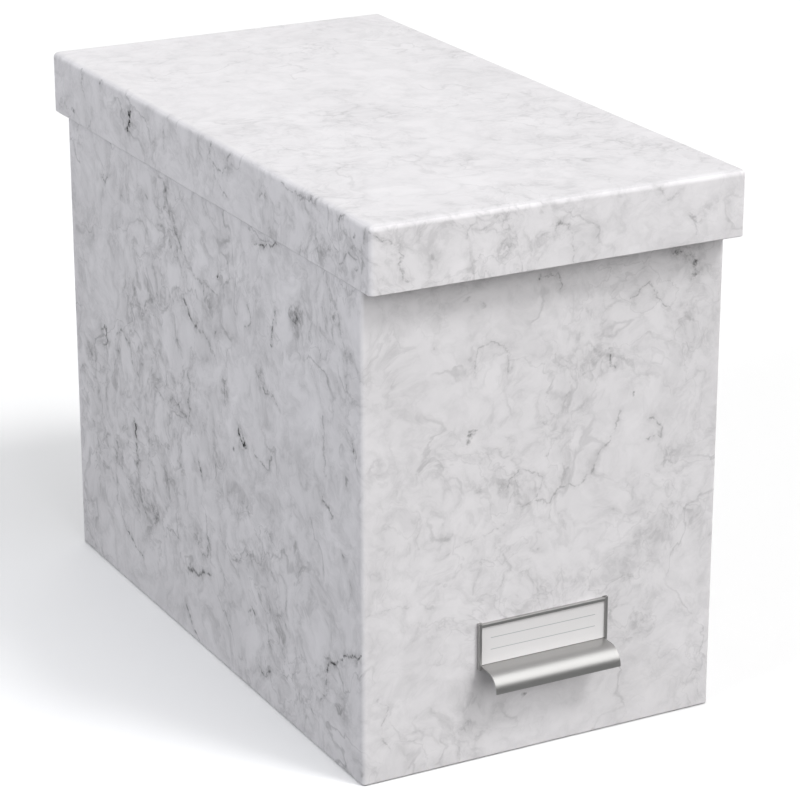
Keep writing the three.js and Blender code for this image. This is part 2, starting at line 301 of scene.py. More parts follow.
RIM_FRONT_LINES = [
    ([(-93, 262), (-87, 258), (-82, 254), (-79, 251)], 0.5, 0.22),
    ([(-79, 251), (-80, 247), (-78, 242), (-75, 241)], 0.5, 0.24),
    ([(-5, 250), (-3, 253), (1, 252)], 0.6, 0.26),
    ([(1, 252), (4, 248), (5, 239), (4, 236)], 0.4, 0.14),
    ([(47, 264), (52, 258), (59, 260)], 0.6, 0.14),
    ([(64, 248), (70, 245), (72, 249)], 0.6, 0.20),
    ([(68, 245), (68, 239)], 0.6, 0.13),
    ([(-44, 262), (-49, 254)], 0.6, 0.12),
    ([(-14, 250), (-7, 249)], 0.4, 0.10),
]
RIM_LEFT_LINES = [
    ([(76, 256), (78, 246)], 1.1, 0.60),
    ([(111, 264), (114, 262)], 0.8, 0.26),
    ([(136, 265), (138, 256), (134, 251)], 0.7, 0.20),
    ([(-17, 264), (-15, 254), (-29, 252), (-38, 262)], 0.8, 0.22),
    ([(-18, 252), (-22, 245), (-32, 242)], 0.6, 0.20),
    ([(-68, 251), (-75, 251), (-74, 252)], 0.7, 0.30),
    ([(-91, 264), (-100, 263), (-111, 260), (-119, 262)], 0.6, 0.20),
    ([(-145, 259), (-147, 263), (-152, 265)], 0.6, 0.30),
    ([(-172, 261), (-167, 253), (-170, 248), (-168, 243)], 1.2, 0.16),
    ([(38, 259), (36, 248)], 0.7, 0.14),
    ([(-147, 242), (-155, 248), (-163, 248)], 0.5, 0.20),
]
TOP_LINES = [
    ([(-31, -44), (-29, -55), (-31, -67)], 0.5, 0.12),
    ([(-29, -95), (-28, -103), (-19, -110), (-11, -110), (-7, -104)], 0.4, 0.10),
    ([(27, -152), (33, -159), (27, -168), (18, -171)], 0.4, 0.07),
    ([(-59, -21), (-50, -19), (-49, -34), (-57, -34), (-59, -21)], 0.6, 0.06),
]
RIM_FRONT_SPOTS = [(-81.0, 254.0, 3.0, 0.14), (73.0, 249.0, 5.0, 0.10)]
RIM_LEFT_SPOTS = [
    (-160.0, 258.0, 1.6, 0.28), (-162.0, 243.0, 1.6, 0.36), (77.0, 250.0, 2.2, 0.20),
    (-160.0, 240.0, 3.0, 0.14), (-35.0, 256.0, 6.0, 0.12), (150.0, 240.0, 2.0, 0.24),
]
TOP_SPOTS = [(-33.0, 2.0, 1.4, 0.16), (-29.0, -97.0, 1.8, 0.10)]

# The two axes that the marks of a face are placed on
FACE_AXES = {"front": (0, 2), "left": (1, 2), "top": (0, 1)}
CORE = 1.6              # reach of a line's dark core, in half widths
HAZE = 7.0              # reach of the pale haze beside it
CORE_SHARE = 0.75       # shares of a line's darkness
HAZE_SHARE = 0.30
# The left side has too many marks for one material: each strip of it has its own, from y to y
LEFT_STRIPS = [(-163.0, -80.0), (-80.0, 0.0), (0.0, 80.0), (80.0, 163.0)]
FIRST_LEFT_SLOT = 3     # the body's slots: wrap, front, lining, then the strips
MARK_MARGIN = 12.0      # a strip also has its neighbours' marks up to this far away
LID_SHIFT = (0.37, 0.21, 0.13)      # the lid is cut from another part of the sheet, in metres
PAPER_LEVEL = 0.828     # how light the paper is between its marks

# Colours
BLACK = (0.0, 0.0, 0.0)
WHITE = (1.0, 1.0, 1.0)
PAPER_TINT = (1.0, 0.978, 0.992)
LINING_TINT = (1.0, 0.99, 0.97)
CARD_TINT = (1.0, 0.982, 0.980)
INK = (0.16, 0.20, 0.21, 1.0)
HOLDER_GREY = (0.50, 0.496, 0.488)
RAIL_GREY = (0.56, 0.57, 0.58)
RIVET_GREY = (0.55, 0.55, 0.55)

# The card's ruled lines: heights as shares of the card's height, the rest in metres
RULED_LINES = (0.36, 0.66)
RULE_ENDS = 0.0054      # from the card's sides to the ends of the lines
RULE_HALF = 0.00016     # half the width of a line
RULE_BLUR = 0.00006     # the ink fades over this much on either side


def mark_shade(tree, place, axes, lines, spots):
    """How dark the listed marks make a point: each line has a thin core and a pale haze."""
    parts = node(tree, "ShaderNodeSeparateXYZ", (place,)).outputs
    flat = node(tree, "ShaderNodeCombineXYZ", (parts[axes[0]], parts[axes[1]])).outputs[0]
    total = None
    for points, half_width, darkness in lines:
        nearest = None
        for start, end in zip(points, points[1:]):
            a = Vector((start[0], start[1], 0)) * MM
            run = Vector((end[0], end[1], 0)) * MM - a
            from_a = vector(tree, "SUBTRACT", flat, a)
            share = vector(tree, "DOT_PRODUCT", from_a, run / run.length_squared)
            on_line = scaled(tree, run, calc(tree, "ADD", share, 0.0, clamp=True))
            away = vector(tree, "DISTANCE", from_a, on_line)
            nearest = away if nearest is None else calc(tree, "MINIMUM", nearest, away)
        core = ramp(tree, nearest, 0.0, CORE * half_width * MM, CORE_SHARE * darkness, 0.0)
        haze = ramp(tree, nearest, 0.0, HAZE * half_width * MM, HAZE_SHARE * darkness, 0.0)
        shade = calc(tree, "ADD", core, haze)
        total = shade if total is None else calc(tree, "MAXIMUM", total, shade)
    for across, up, radius, darkness in spots:
        away = vector(tree, "DISTANCE", flat, (across * MM, up * MM, 0))
        shade = ramp(tree, away, 0.2 * radius * MM, 1.35 * radius * MM, darkness, 0.0)
        total = shade if total is None else calc(tree, "MAXIMUM", total, shade)
    return total


def level_line(tree, field, level, width):
    """1 on the thin line where the field crosses this level, fading to 0 over the width."""
    away = calc(tree, "ABSOLUTE", calc(tree, "SUBTRACT", field, level))
    return ramp(tree, away, 0.0, width, 1.0, 0.0)


def marks_between(marks, low, high):
    """The lines and spots that reach into this range of the first axis, with a margin."""
    lines, spots = marks
    lines = [line for line in lines
             if min(p[0] for p in line[0]) < high + MARK_MARGIN
             and max(p[0] for p in line[0]) > low - MARK_MARGIN]
    spots = [spot for spot in spots if low - MARK_MARGIN < spot[0] < high + MARK_MARGIN]
    return lines, spots


def crease_shade(tree, fine, clouds, busy, contrast):
    """A net of soft creases round small pale blobs, sharper where the clouds are dark."""
    creases = ridges(tree, fine, 62.0, 4.5, 0.66, (8.1, 3.5, 0.9))
    creased = ramp(tree, creases, 0.9, 2.15, 0.0, 1.0, smooth=False)
    shade = calc(tree, "MULTIPLY", creased, 0.055 * contrast)
    dim = calc(tree, "MULTIPLY", ramp(tree, clouds, 0.54, 0.34, 0.35, 1.0), busy)
    sharp = calc(tree, "MULTIPLY", calc(tree, "POWER", creased, 3.0), dim)
    return calc(tree, "MULTIPLY_ADD", sharp, 0.22 * contrast, shade)


def vein_shade(tree, broad, fine, busy, contrast):
    """Veins and small loops, along the edges of other clouds, where the paper is busy."""
    field = noise(tree, fine, 17.0, 3.0, 0.5, (0.4, 0.9, 0.2))
    strength = ramp(tree, noise(tree, broad, 30.0, 2.0, 0.6, (1.9, 3.4, 1.3)), 0.42, 0.62)
    vein = calc(tree, "MULTIPLY", level_line(tree, field, 0.5, 0.013), strength)
    small = noise(tree, fine, 44.0, 3.0, 0.5, (7.4, 2.9, 5.2))
    loop = calc(tree, "MULTIPLY", level_line(tree, small, 0.56, 0.018), busy)
    hem = ramp(tree, small, 0.56, 0.66, 0.0, 0.05 * contrast)
    shade = calc(tree, "MULTIPLY_ADD", vein, 0.16 * contrast, hem)
    return calc(tree, "MULTIPLY_ADD", loop, 0.11 * contrast, shade)


def speck_shade(tree, fine, contrast):
    """Small dark specks, each with a paler halo, in some of the cells."""
    cells = node(tree, "ShaderNodeTexVoronoi", voronoi_dimensions="3D")
    tree.links.new(fine, cells.inputs["Vector"])
    cells.inputs["Scale"].default_value = 55.0
    lot = node(tree, "ShaderNodeSeparateXYZ", (cells.outputs["Color"],)).outputs[0]
    chosen = calc(tree, "GREATER_THAN", lot, 0.82)
    speck = ramp(tree, cells.outputs["Distance"], 0.01, 0.10, 0.22 * contrast, 0.0)
    halo = ramp(tree, cells.outputs["Distance"], 0.05, 0.34, 0.09 * contrast, 0.0)
    return calc(tree, "MULTIPLY", calc(tree, "ADD", speck, halo), chosen)


def marbled_paper(name, face=None, marks=None, shift=(0.0, 0.0, 0.0), contrast=1.0,
                  level=PAPER_LEVEL):
    """Printed marbled paper: clouds down to a fine mottle, crinkled veins, loops and dark specks."""
    material, tree, shader, place = new_material(name)
    moved = vector(tree, "ADD", place, shift)
    broad = warped(tree, moved, 20.0, 0.030, 2.0, (0.31, 0.12, 0.57))
    fine = warped(tree, broad, 115.0, 0.0105, 4.0, (1.7, 4.2, 2.9))
    clouds = noise(tree, fine, 26.0, 5.0, 0.74, (5.2, 1.4, 8.8))
    lightness = ramp(tree, clouds, 0.28, 0.72, -1.0, 1.0, smooth=False)
    light = calc(tree, "MULTIPLY_ADD", lightness, 0.055 * contrast, level)
    patches = noise(tree, broad, 13.0, 2.0, 0.5, (2.6, 7.7, 0.4))
    busy = ramp(tree, patches, 0.40, 0.62, 0.30, 1.0)

    shade = crease_shade(tree, fine, clouds, busy, contrast)
    shade = calc(tree, "ADD", shade, vein_shade(tree, broad, fine, busy, contrast))
    shade = calc(tree, "ADD", shade, speck_shade(tree, fine, contrast))
    if face is not None:
        # The listed marks keep their place: only the fine crinkle moves them
        marks_place = vector(tree, "SUBTRACT", vector(tree, "ADD", place, fine), broad)
        dark = mark_shade(tree, marks_place, FACE_AXES[face], *marks)
        grain = noise(tree, place, 300.0, 3.0, 0.7, (6.6, 0.8, 4.1))
        broken = ramp(tree, grain, 0.36, 0.62, 0.25 * contrast, 1.6 * contrast)
        shade = calc(tree, "ADD", shade, calc(tree, "MULTIPLY", dark, broken))

    kept = calc(tree, "SUBTRACT", 1.0, shade, clamp=True)
    tone = calc(tree, "MULTIPLY", light, kept, clamp=True)
    colour = grey_mix(tree, tone, BLACK, PAPER_TINT)
    tree.links.new(colour, shader.inputs["Base Color"])
    fibres = noise(tree, place, 2600.0, 3.0, 0.6)
    roughness = ramp(tree, fibres, 0.3, 0.7, 0.60, 0.74, smooth=False)
    tree.links.new(roughness, shader.inputs["Roughness"])
    shader.inputs["Specular IOR Level"].default_value = 0.22
    bump(tree, shader, fibres, 0.12, 0.00012)
    return material


def lining_paper(name):
    """Plain uncoated lining paper with faint fibres."""
    material, tree, shader, place = new_material(name)
    fibres = noise(tree, place, 900.0, 5.0, 0.65)
    clouds = noise(tree, place, 60.0, 3.0, 0.5, (3.0, 1.0, 2.0))
    tone = calc(tree, "MULTIPLY_ADD", fibres, 0.05, 0.74)
    tone = calc(tree, "MULTIPLY_ADD", clouds, 0.04, tone)
    colour = grey_mix(tree, tone, BLACK, LINING_TINT)
    tree.links.new(colour, shader.inputs["Base Color"])
    shader.inputs["Roughness"].default_value = 0.85
    shader.inputs["Specular IOR Level"].default_value = 0.25
    bump(tree, shader, fibres, 0.25, 0.0001)
    return material


def card_paper(name):
    """Smooth off-white card with two fine ruled lines to write on."""
    material, tree, shader, place = new_material(name)
    parts = node(tree, "ShaderNodeSeparateXYZ", (place,)).outputs
    grain = noise(tree, place, 1500.0, 4.0, 0.6)
    tone = calc(tree, "MULTIPLY_ADD", grain, 0.03, 0.775)
    paper = grey_mix(tree, tone, BLACK, CARD_TINT)
    low, high = CARD_LOW[2] * MM, CARD_HIGH[2] * MM
    half_card = (CARD_HIGH[0] - CARD_LOW[0]) / 2 * MM
    inked = None
    for share in RULED_LINES:
        away = calc(tree, "ABSOLUTE", calc(tree, "SUBTRACT", parts[2], low + (high - low) * share))
        line = ramp(tree, away, RULE_HALF - RULE_BLUR, RULE_HALF + RULE_BLUR, 1.0, 0.0)
        inked = line if inked is None else calc(tree, "MAXIMUM", inked, line)
    across = calc(tree, "ABSOLUTE", parts[0])
    line_end = half_card - RULE_ENDS
    within = ramp(tree, across, line_end - RULE_BLUR, line_end + RULE_BLUR, 1.0, 0.0)
    inked = calc(tree, "MULTIPLY", inked, within)
    mixed = node(tree, "ShaderNodeMix", data_type="RGBA")
    tree.links.new(calc(tree, "MULTIPLY", inked, 0.55), mixed.inputs["Factor"])
    tree.links.new(paper, mixed.inputs[6])
    mixed.inputs[7].default_value = INK
    tree.links.new(mixed.outputs[2], shader.inputs["Base Color"])
    shader.inputs["Roughness"].default_value = 0.7
    shader.inputs["Specular IOR Level"].default_value = 0.3
    bump(tree, shader, grain, 0.1, 0.00005)
    return material


def satin_metal(name, colour, roughness, grain_axis):
    """Satin metal with fine rolling lines along one axis and faint uneven lustre."""
    material, tree, shader, place = new_material(name)
    stretch = [1.0, 1.0, 1.0]
    stretch[grain_axis] = 0.03
    pulled = vector(tree, "MULTIPLY", place, tuple(stretch))
    lines = noise(tree, pulled, 9000.0, 3.0, 0.6)
    clouds = noise(tree, place, 140.0, 3.0, 0.5, (2.0, 5.0, 1.0))
    tone = calc(tree, "MULTIPLY_ADD", lines, 0.10, 0.90)
    tone = calc(tree, "MULTIPLY_ADD", clouds, 0.05, tone)
    tree.links.new(grey_mix(tree, tone, BLACK, colour), shader.inputs["Base Color"])
    shader.inputs["Metallic"].default_value = 1.0
    uneven = ramp(tree, lines, 0.3, 0.7, roughness - 0.05, roughness + 0.05, smooth=False)
    tree.links.new(uneven, shader.inputs["Roughness"])
    bump(tree, shader, lines, 0.10, 0.00002)
    return material


# Meshes

def finish_mesh(name, mesh_bm, materials, sharp_degrees=35.0):
    """Makes the object, with smooth faces and sharp edges only where the angle is large."""
    bmesh.ops.recalc_face_normals(mesh_bm, faces=mesh_bm.faces)
    mesh = bpy.data.meshes.new(name)
    mesh_bm.to_mesh(mesh)
    mesh_bm.free()
    for material in materials:
        mesh.materials.append(material)
    for polygon in mesh.polygons:
        polygon.use_smooth = True
    mesh.set_sharp_from_angle(angle=math.radians(sharp_degrees))
    made = bpy.data.objects.new(name, mesh)
    SCENE.collection.objects.link(made)
    flats = made.modifiers.new("flat_faces_stay_flat", "WEIGHTED_NORMAL")
    flats.weight = 100
    flats.keep_sharp = True
    return made


def ring_points(width, length, inset, radius, x_stations, y_stations, steps=6):
    """Round-cornered rectangle as (x, y, outward direction) points, anticlockwise from the right."""
    half_x = width / 2 - inset
    half_y = length / 2 - inset
    reach_x = half_x - radius
    reach_y = half_y - radius
    xs = [max(-reach_x, min(reach_x, v)) for v in x_stations]
    ys = [max(-reach_y, min(reach_y, v)) for v in y_stations]
    points = [(half_x, y, (1, 0)) for y in ys]
    points += corner_points(reach_x, reach_y, radius, 0, steps)
    points += [(x, half_y, (0, 1)) for x in reversed(xs)]
    points += corner_points(-reach_x, reach_y, radius, 90, steps)
    points += [(-half_x, y, (-1, 0)) for y in reversed(ys)]
    points += corner_points(-reach_x, -reach_y, radius, 180, steps)
    points += [(x, -half_y, (0, -1)) for x in xs]
    points += corner_points(reach_x, -reach_y, radius, 270, steps)
    return points


def corner_points(centre_x, centre_y, radius, start_degrees, steps):
    """A quarter circle of (x, y, outward direction) points."""
    points = []
    for i in range(steps + 1):
        angle = math.radians(start_degrees + 90 * i / steps)
        way = (math.cos(angle), math.sin(angle))
        points.append((centre_x + radius * way[0], centre_y + radius * way[1], way))
    return points


def loft(mesh_bm, rings, material_of):
    """Joins closed rings of as many points each with quads, and closes both ends flat."""
    rows = [[mesh_bm.verts.new(Vector(p) * MM) for p in ring] for ring in rings]
    count = len(rows[0])
    for j in range(len(rows) - 1):
        for i in range(count):
            k = (i + 1) % count
            face = mesh_bm.faces.new((rows[j][i], rows[j][k], rows[j + 1][k], rows[j + 1][i]))
            face.material_index = material_of(j, face.calc_center_median() / MM)
    first = mesh_bm.faces.new(list(reversed(rows[0])))
    first.material_index = material_of(0, first.calc_center_median() / MM)
    last = mesh_bm.faces.new(rows[-1])
    last.material_index = material_of(len(rows) - 1, last.calc_center_median() / MM)
    bmesh.ops.remove_doubles(mesh_bm, verts=mesh_bm.verts, dist=1e-7)


def rounded_rim(board, radius, steps=4):
    """(inset, drop below the rim) over the top of a board, from its outside to its inside."""
    outside = []
    for i in range(steps + 1):
        angle = math.radians(90 * i / steps)
        outside.append((radius * (1 - math.cos(angle)), radius * (1 - math.sin(angle))))
    inside = [(board - inset, drop) for inset, drop in reversed(outside)]
    return outside + inside


def smooth_step(value, low, high):
    """0 up to low, 1 from high on, and a smooth rise between them."""
    share = max(0.0, min(1.0, (value - low) / (high - low)))
    return share * share * (3 - 2 * share)


def spread(*values):
    """The values and their mirror images, in order."""
    return sorted({-v for v in values} | set(values))


def body_rim_height(x, y):
    """Height of the rim: full at the sides and shoulders, lower along the end walls."""
    full = BODY_HIGH[2]
    low = RAIL_HIGH[2] - RAIL_METAL - RAIL_BEND
    if abs(y) < BODY_LENGTH / 2 - BODY_BOARD - BODY_CORNER:
        return full
    return low + (full - low) * smooth_step(abs(x), NOTCH_SIDE + RISE_FROM, NOTCH_SIDE + RISE_TO)


def seam_rise(x, y):
    """The rear wall lies one sheet lower than the overlap of the wrap's two ends."""
    if y < BODY_LENGTH / 2 - BODY_CORNER or x < -BODY_WIDTH / 2 + SEAM_WIDTH:
        return 0.0
    return -PAPER * smooth_step(-x, -BODY_WIDTH / 2 + BODY_CORNER, -BODY_WIDTH / 2 + SEAM_FADE)


def body_shell(materials):
    """The wrapped body: one closed shell from the base sheet, over the rim, to the lined floor."""
    rise = [NOTCH_SIDE + RISE_FROM + RISE_STATION * i for i in range(-1, 9)]
    seam_x = -BODY_WIDTH / 2 + SEAM_WIDTH
    xs = spread(0.0, 20.0, 40.0, 60.0, *rise) + [seam_x - SHEET_STEP, seam_x + SHEET_STEP]
    xs = sorted(xs + [BODY_WIDTH / 2 - v for v in (3.0, 4.0, 5.0, 6.5, SEAM_FADE)])
    ys = spread(0.0, 40.0, 80.0, 120.0)

    def ring(inset, radius, height, seam=False):
        points = []
        for x, y, way in ring_points(BODY_WIDTH, BODY_LENGTH, inset, radius, xs, ys):
            z = height(x, y) if callable(height) else height
            extra = seam_rise(x, y) if seam else 0.0
            points.append((x + way[0] * extra, y + way[1] * extra, z))
        return points

    rings = [
        ring(BASE_MARGIN, BASE_CORNER, 0.0),
        ring(BASE_MARGIN - 2 * SHEET_STEP, BASE_CORNER, PAPER),
        ring(BODY_EDGE + 0.4, 0.9, PAPER),
    ]
    kinds = ["base", "edge", "wrap"]
    for i in range(6):
        angle = math.radians(90 * i / 5)
        inset = BODY_EDGE * (1 - math.sin(angle))
        z = BASE_LIFT + BODY_EDGE * (1 - math.cos(angle))
        rings.append(ring(inset, BODY_CORNER - inset, z, i == 5))
        kinds.append("wrap")
    for level in LEVELS:
        rings.append(ring(0.0, BODY_CORNER, level, True))
        kinds.append("wrap")
    for inset, drop in rounded_rim(BODY_BOARD, RIM_ROUND):
        outside = inset < BODY_BOARD / 2
        radius = max(BODY_CORNER - inset, FOLD_INSIDE)
        rings.append(ring(inset, radius, lambda x, y, d=drop: body_rim_height(x, y) - d, outside))
        kinds.append("wrap")
    turned = RAIL_HIGH[2] - TURN_IN
    rings += [
        ring(BODY_BOARD, FOLD_INSIDE, turned),
        ring(BODY_BOARD + PAPER, FOLD_INSIDE, turned - 0.05),
        ring(BODY_BOARD + PAPER, FOLD_INSIDE, 60.0),
        ring(BODY_BOARD + PAPER, FOLD_INSIDE, BODY_BOARD + 0.5),
        ring(BODY_BOARD + PAPER + 0.5, FOLD_INSIDE, BODY_BOARD),
    ]
    kinds += ["lining"] * 5
    numbers = {"wrap": 0, "front": 1, "lining": 2, "base": 2, "edge": 2}
    near = 0.35             # faces up to this far behind the front or the left count to it

    def material_of(row, centre):
        kind = kinds[min(row, len(kinds) - 1)]
        if kind == "wrap":
            if centre.y < -BODY_LENGTH / 2 + near:
                kind = "front"
            elif centre.x < -BODY_WIDTH / 2 + near:
                strip = [high for _, high in LEFT_STRIPS if centre.y > high]
                return FIRST_LEFT_SLOT + len(strip)
        return numbers[kind]

    mesh_bm = bmesh.new()
    loft(mesh_bm, rings, material_of)
    return finish_mesh("body_wrap", mesh_bm, materials)


def flap_rise(x, y):
    """The long sides lie one sheet lower than the folded ends of the wrap."""
    if abs(x) < LID_WIDTH / 2 - LID_CORNER or LID_LENGTH / 2 - FLAP_WIDTH < abs(y):
        return 0.0
    return -PAPER


def lid_shell(materials):
    """The wrapped lid: one closed shell from the top panel, down the rim, to the lined inside."""
    flap_y = LID_LENGTH / 2 - FLAP_WIDTH
    xs = spread(0.0, 30.0, 60.0)
    ys = spread(0.0, 40.0, 80.0, 120.0, flap_y - SHEET_STEP, flap_y + SHEET_STEP)
    top = LID_HIGH[2]
    bottom = LID_LOW[2]

    def ring(inset, radius, z, flaps=0.0):
        points = []
        for x, y, way in ring_points(LID_WIDTH, LID_LENGTH, inset, radius, xs, ys):
            extra = flap_rise(x, y) * flaps
            points.append((x + way[0] * extra, y + way[1] * extra, z))
        return points

    rings = []
    steps = 8
    for i in range(steps + 1):
        angle = math.radians(90 * i / steps)
        inset = LID_EDGE * (1 - math.sin(angle))
        z = top - LID_EDGE * (1 - math.cos(angle))
        rings.append(ring(inset, max(LID_CORNER - inset, 0.3), z, smooth_step(angle, 0.9, 1.5)))
    kinds = ["top"] * 4 + ["wrap"] * (len(rings) - 4)
    for level in (top - 12.0, bottom + 8.0):
        rings.append(ring(0.0, LID_CORNER, level, 1.0))
        kinds.append("wrap")
    for inset, drop in rounded_rim(LID_BOARD, RIM_ROUND):
        outside = 1.0 if inset < LID_BOARD / 2 else 0.0
        rings.append(ring(inset, LID_CORNER - inset, bottom + drop, outside))
        kinds.append("wrap")
    ceiling = top - LID_BOARD
    rings += [
        ring(LID_BOARD, LID_CORNER - LID_BOARD, ceiling - 0.8),
        ring(LID_BOARD + 0.5, LID_CORNER - LID_BOARD, ceiling),
        ring(LID_BOARD + PANEL_MARGIN, PANEL_CORNER, ceiling),
        ring(LID_BOARD + PANEL_MARGIN + 2 * SHEET_STEP, PANEL_CORNER, ceiling - PAPER),
    ]
    kinds += ["wrap", "wrap", "lining", "lining"]
    numbers = {"wrap": 0, "top": 1, "lining": 2, "front": 3, "left": 4}
    outer_rows = len(kinds) - 4 - len(rounded_rim(LID_BOARD, RIM_ROUND)) // 2
    near = 2.0              # faces up to this far behind the front or the left count to it

    def material_of(row, centre):
        kind = kinds[min(row, len(kinds) - 1)]
        if kind == "wrap" and row < outer_rows:
            if centre.y < -LID_LENGTH / 2 + near:
                kind = "front"
            elif centre.x < -LID_WIDTH / 2 + near:
                kind = "left"
        return numbers[kind]

    mesh_bm = bmesh.new()
    loft(mesh_bm, rings, material_of)
    return finish_mesh("lid_wrap", mesh_bm, materials)


# Bent metal

def rounded_path(points, radii, steps=8):
    """The path with each inner corner rounded to its radius."""
    line = [points[0]]
    for i in range(1, len(points) - 1):
        back = (points[i - 1] - points[i]).normalized()
        ahead = (points[i + 1] - points[i]).normalized()
        half = back.angle(ahead) / 2
        radius = radii[i]
        centre = points[i] + (back + ahead).normalized() * radius / math.sin(half)
        start = points[i] + back * radius / math.tan(half) - centre
        end = points[i] + ahead * radius / math.tan(half) - centre
        turn = start.angle_signed(end)
        count = steps if radius < 2 else 5 * steps
        for k in range(count + 1):
            line.append(centre + Matrix.Rotation(-turn * k / count, 2) @ start)
    line.append(points[-1])
    kept = [line[0]]
    for point in line[1:]:
        if (point - kept[-1]).length > 1e-4:
            kept.append(point)
    return kept


def sheet_section(corners, thickness, inner_bend, outer_bend):
    """Outline of a bent sheet. A corner is (u, v), or (u, v, radius of its middle line)."""
    points = [Vector(c[:2]) for c in corners]
    sides = []
    for way in (1, -1):
        moved, radii = [], []
        for i, point in enumerate(points):
            into = (point - points[i - 1]).normalized() if i > 0 else None
            out = (points[i + 1] - point).normalized() if i < len(points) - 1 else None
            into = out if into is None else into
            out = into if out is None else out
            along = (into + out).normalized()
            side = Vector((-along.y, along.x))
            moved.append(point + side * (way * thickness / 2 / along.dot(out)))
            inside = way * (into.x * out.y - into.y * out.x) > 0
            radius = inner_bend if inside else outer_bend
            if len(corners[i]) > 2:
                radius = corners[i][2] + (-1 if inside else 1) * thickness / 2
            radii.append(radius)
        sides.append(rounded_path(moved, radii))
    return sides[0] + sides[1][::-1]


def extruded(section, low, high, place):
    """Closed bar of this section from low to high. place turns (u, v, along) into (x, y, z)."""
    mesh_bm = bmesh.new()
    ends = []
    for along in (low, high):
        ends.append([mesh_bm.verts.new(Vector(place(p[0], p[1], along)) * MM) for p in section])
    count = len(section)
    for i in range(count):
        k = (i + 1) % count
        mesh_bm.faces.new((ends[0][i], ends[0][k], ends[1][k], ends[1][i]))
    mesh_bm.faces.new(ends[0][::-1])
    mesh_bm.faces.new(ends[1])
    bmesh.ops.recalc_face_normals(mesh_bm, faces=mesh_bm.faces)
    return mesh_bm


def as_object(name, mesh_bm):
    """A plain object, for a part that is still to be joined to another."""
    mesh = bpy.data.meshes.new(name)
    mesh_bm.to_mesh(mesh)
    mesh_bm.free()
    made = bpy.data.objects.new(name, mesh)
    SCENE.collection.objects.link(made)
    return made


def joined(first, others):
    """The union of closed objects, as a mesh in code. The objects are removed."""
    for other in others:
        modifier = first.modifiers.new("join", "BOOLEAN")
        modifier.operation = "UNION"
        modifier.solver = "EXACT"
        modifier.object = other
    graph = bpy.context.evaluated_depsgraph_get()
    mesh_bm = bmesh.new()
    mesh_bm.from_mesh(first.evaluated_get(graph).to_mesh())
    for used in [first, *others]:
        bpy.data.objects.remove(used)
    return mesh_bm


def soften(mesh_bm, width, degrees=50.0):
    """Rounds the edges that are sharper than this."""
    bmesh.ops.remove_doubles(mesh_bm, verts=mesh_bm.verts, dist=2e-6)
    bmesh.ops.dissolve_limit(mesh_bm, angle_limit=math.radians(0.5), verts=mesh_bm.verts,
                             edges=mesh_bm.edges)
    edges = [e for e in mesh_bm.edges
             if len(e.link_faces) == 2 and e.calc_face_angle(0.0) > math.radians(degrees)]
    bmesh.ops.bevel(mesh_bm, geom=edges, offset=width * MM, segments=2, profile=0.6,
                    affect="EDGES", clamp_overlap=True)
    bmesh.ops.remove_doubles(mesh_bm, verts=mesh_bm.verts, dist=2e-6)


def holder_sheet(material):
    """The label holder: top lip, back plate, shelf and rolled pull in one strip, and its sides."""
    half = (HOLDER_HIGH[0] - HOLDER_LOW[0]) / 2
    top = HOLDER_HIGH[2] - EAR_RISE
    depth = HOLDER_SEAT + 2 * HOLDER_METAL + CARD_SLOT
    plate = HOLDER_SEAT + HOLDER_METAL / 2
    lip = depth - HOLDER_METAL / 2
    pull = FRONT_Y - HOLDER_LOW[1] - HOLDER_METAL / 2
    pull_half = half - HOLDER_METAL - PULL_RELIEF
    strip = sheet_section([
        (lip, top - TOP_LIP),
        (lip, top - HOLDER_METAL / 2),
        (plate, top - HOLDER_METAL / 2),
        (plate, SHELF_HEIGHT - HOLDER_METAL / 2),
        (pull, SHELF_HEIGHT - HOLDER_METAL / 2, PULL_RADIUS - HOLDER_METAL / 2),
        (pull, SHELF_HEIGHT - PULL_RADIUS),
    ], HOLDER_METAL, HOLDER_BEND, HOLDER_OUTER)
    main = as_object("holder_strip", extruded(
        strip, -pull_half, pull_half, lambda u, v, along: (along, FRONT_Y - u, v)))
    sides = []
    for side in (-1, 1):
        flange = side * (half - HOLDER_METAL / 2)
        section = sheet_section([
            (side * (pull_half - HOLDER_METAL), plate),
            (flange, plate),
            (flange, lip),
            (side * (half - SIDE_LIP), lip),
        ], HOLDER_METAL, HOLDER_BEND, HOLDER_OUTER)
        sides.append(as_object("holder_side", extruded(
            section, SHELF_HEIGHT - CHANNEL_DROP, HOLDER_HIGH[2],
            lambda u, v, along: (u, FRONT_Y - v, along))))
    mesh_bm = joined(main, sides)
    soften(mesh_bm, METAL_EDGE)
    return finish_mesh("holder_sheet", mesh_bm, [material], 30.0)


def rail_strip(name, cad_node, material):
    """A steel strip bent over the top of an end wall, with rounded ends to its legs."""
    low, high = [[v / MM for v in corner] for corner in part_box(cad_node)]
    middle = (low[1] + high[1]) / 2
    leg = (high[1] - low[1]) / 2 - RAIL_METAL / 2
    top = high[2] - RAIL_METAL / 2
    section = sheet_section([(-leg, low[2]), (-leg, top), (leg, top), (leg, low[2])],
                            RAIL_METAL, RAIL_BEND, RAIL_METAL + RAIL_BEND)
    mesh_bm = extruded(section, low[0], high[0], lambda u, v, along: (along, middle + u, v))
    soften(mesh_bm, METAL_EDGE)
    return finish_mesh(name, mesh_bm, [material], 30.0)


def card_sheet(material):
    """The card, with slightly rounded corners and soft edges."""
    width = CARD_HIGH[0] - CARD_LOW[0]
    height = CARD_HIGH[2] - CARD_LOW[2]
    middle_z = (CARD_HIGH[2] + CARD_LOW[2]) / 2
    outline = [(x, z + middle_z) for x, z, _ in ring_points(width, height, 0.0, 0.6, [], [], 5)]
    mesh_bm = extruded(outline, CARD_LOW[1], CARD_HIGH[1], lambda u, v, along: (u, along, v))
    soften(mesh_bm, 0.05)
    return finish_mesh("card_sheet", mesh_bm, [material], 40.0)


